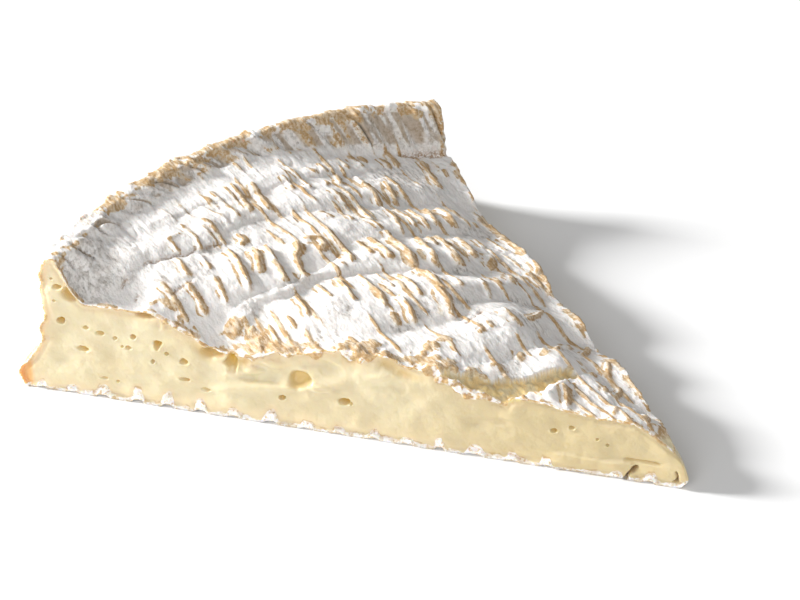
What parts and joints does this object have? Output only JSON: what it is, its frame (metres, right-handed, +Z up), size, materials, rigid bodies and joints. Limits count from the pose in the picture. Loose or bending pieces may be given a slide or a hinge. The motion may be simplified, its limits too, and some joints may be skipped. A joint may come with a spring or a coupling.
{
  "type": "cheese wedge",
  "caption": "Wedge cut from a large flat wheel of soft white-mould cheese, with a mat-ridged rind on top, a raised rim and bare creamy cut faces; lies flat on a board or plate.",
  "frame": {"origin": "centre of the bottom of the wedge's box, on the flat bottom rind", "axes": "+X towards the tip of the wedge, which was the centre of the wheel; the rim faces -X; +Z up; the two cut faces look to -Y and +Y"},
  "size_m": [0.1806, 0.1678, 0.0405],
  "materials": {
    "cheese": null
  },
  "bodies": {
    "root": {"cheese_wedge": "cheese"}
  },
  "joints": []
}
